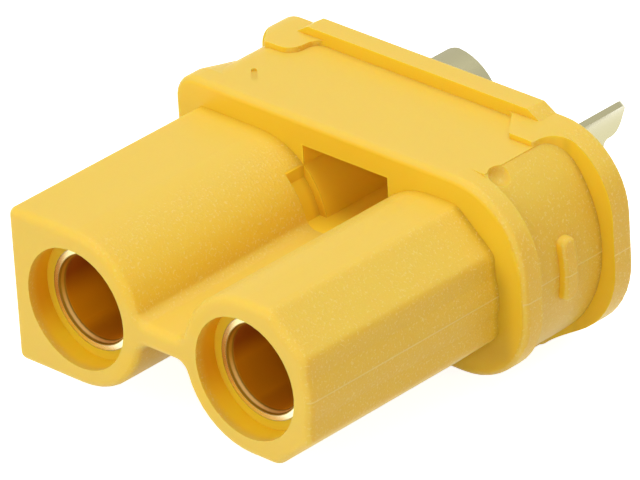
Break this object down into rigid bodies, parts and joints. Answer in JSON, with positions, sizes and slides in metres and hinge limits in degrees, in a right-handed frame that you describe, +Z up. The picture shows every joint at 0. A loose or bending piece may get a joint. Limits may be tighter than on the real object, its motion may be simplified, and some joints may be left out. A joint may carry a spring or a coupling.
{
  "type": "battery connector",
  "caption": "Female battery connector: keyed barrel housing with socket contacts and half-open solder cups at the back.",
  "frame": {"origin": "in the mating face, midway between the two sockets", "axes": "+Y from the mating face towards the solder cups, +X towards the keyed end with the cut corners, +Z up"},
  "size_m": [0.0104, 0.0133, 0.0054],
  "materials": {
    "yellow_nylon": "moulded, fine spark texture",
    "plated_brass": "turned and plated, satin"
  },
  "bodies": {
    "root": {"housing": "yellow_nylon", "socket_contact_left": "plated_brass", "socket_contact_right": "plated_brass"}
  },
  "joints": []
}
